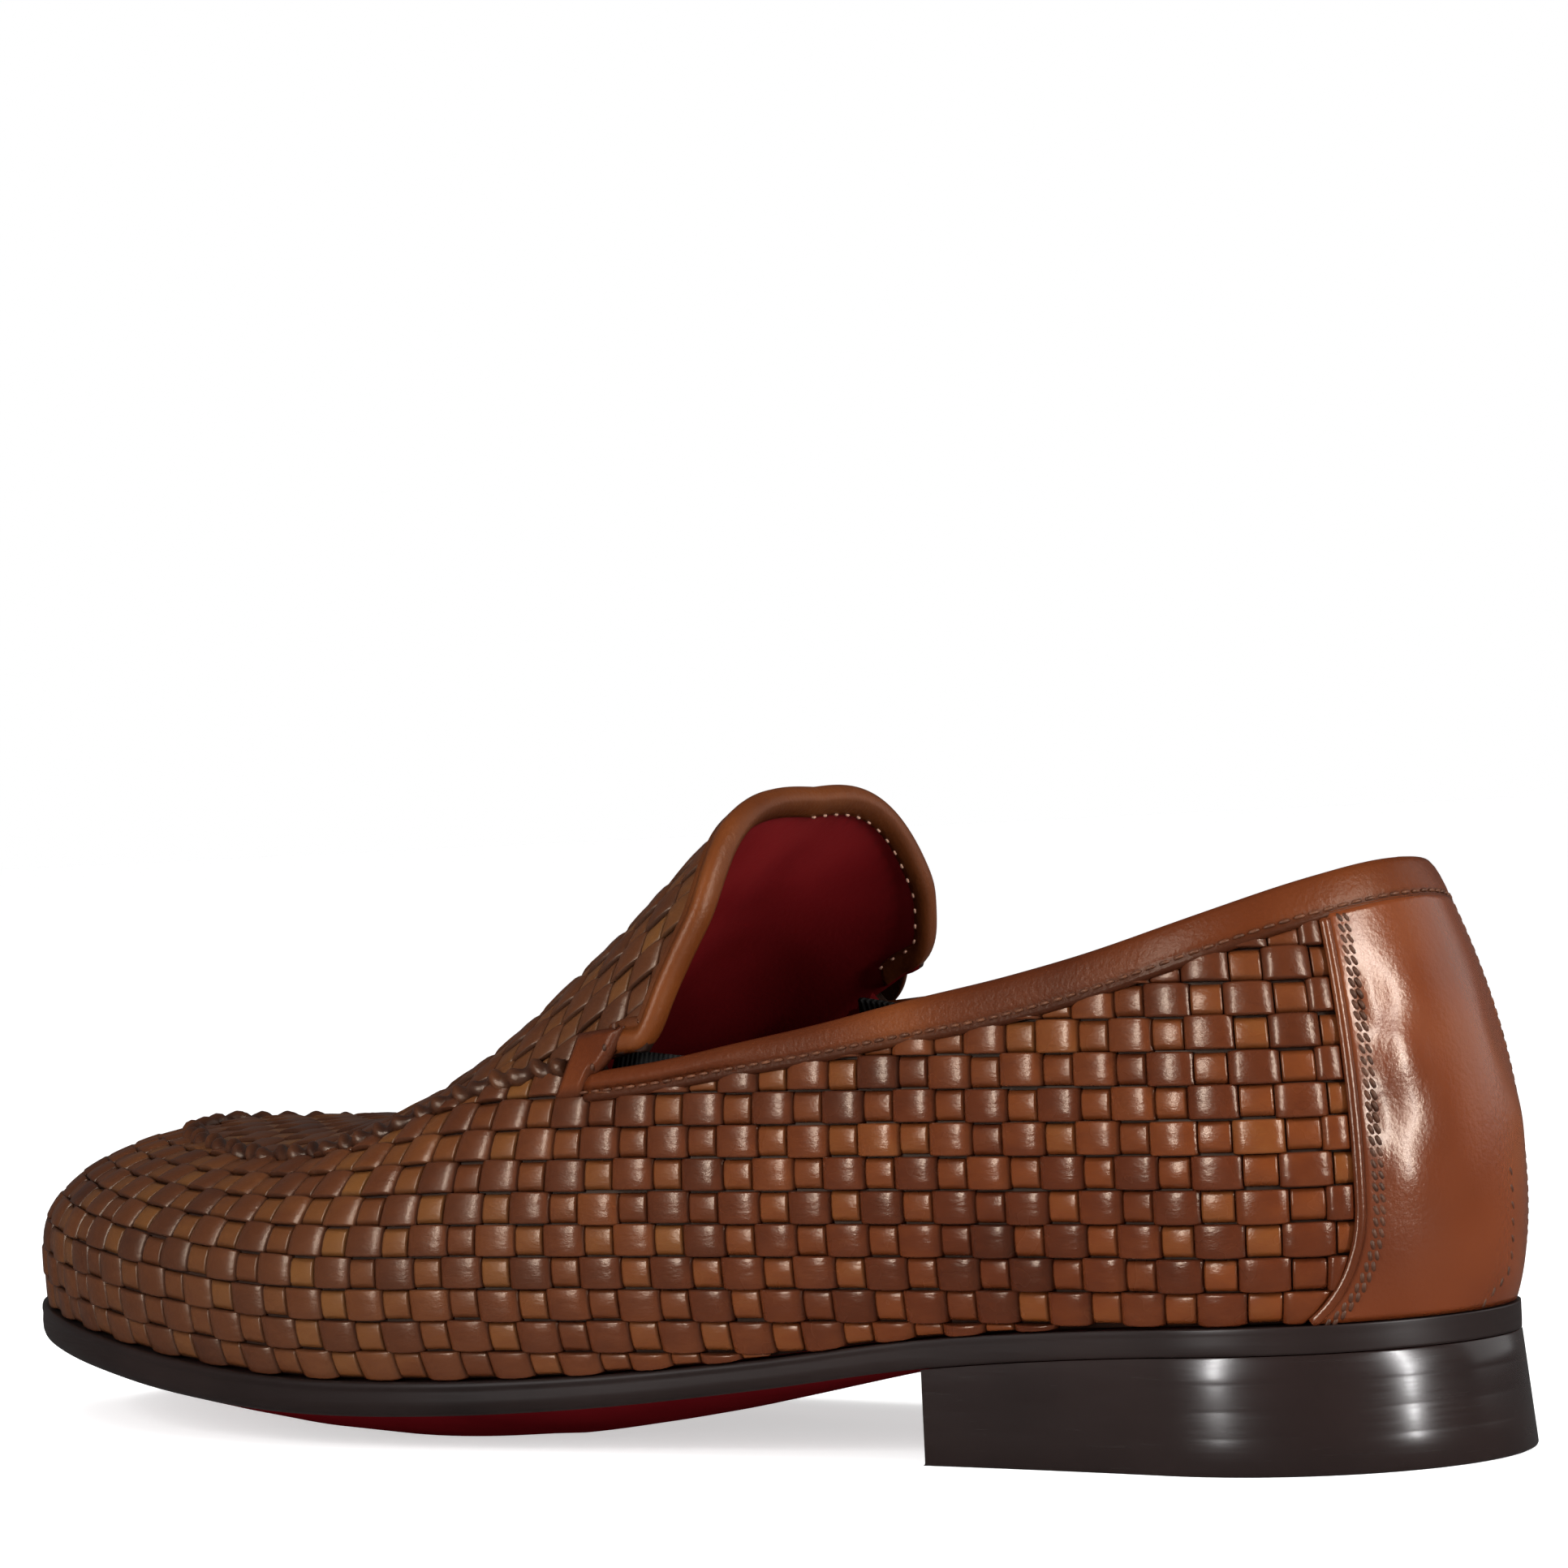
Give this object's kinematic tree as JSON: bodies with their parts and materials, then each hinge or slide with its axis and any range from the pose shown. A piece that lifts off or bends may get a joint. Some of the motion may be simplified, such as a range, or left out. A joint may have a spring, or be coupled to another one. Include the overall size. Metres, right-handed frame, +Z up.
{
  "type": "woven leather loafer",
  "caption": "Slip-on dress shoe with a hollow basket-woven leather upper, raised apron seam, bound collar and tongue, smooth heel counter, leather sole and low stacked heel.",
  "frame": {"origin": "centre of the bounding box in plan, on the floor that the shoe stands on", "axes": "+X from toe to heel, +Y towards the medial (inner) side, +Z up"},
  "size_m": [0.3003, 0.0999, 0.1035],
  "materials": {
    "woven_leather": "burnished brown woven strips, semi-gloss",
    "smooth_leather": "burnished brown calf, polished",
    "tan_leather": "tan edge binding, polished",
    "lining_leather": "burgundy, matt",
    "sole_leather": "dark burnished sole edge and stacked heel, glossy",
    "elastic": "black elastic webbing"
  },
  "bodies": {
    "root": {"upper": "woven_leather", "collar_binding": "smooth_leather", "tongue_binding": "tan_leather", "heel_counter": "smooth_leather", "gusset_lateral": "elastic", "gusset_medial": "elastic", "insole": "lining_leather", "outsole": "sole_leather", "heel_lift_1": "sole_leather", "heel_lift_2": "sole_leather", "heel_lift_3": "sole_leather", "heel_top_piece": "sole_leather"}
  },
  "joints": []
}
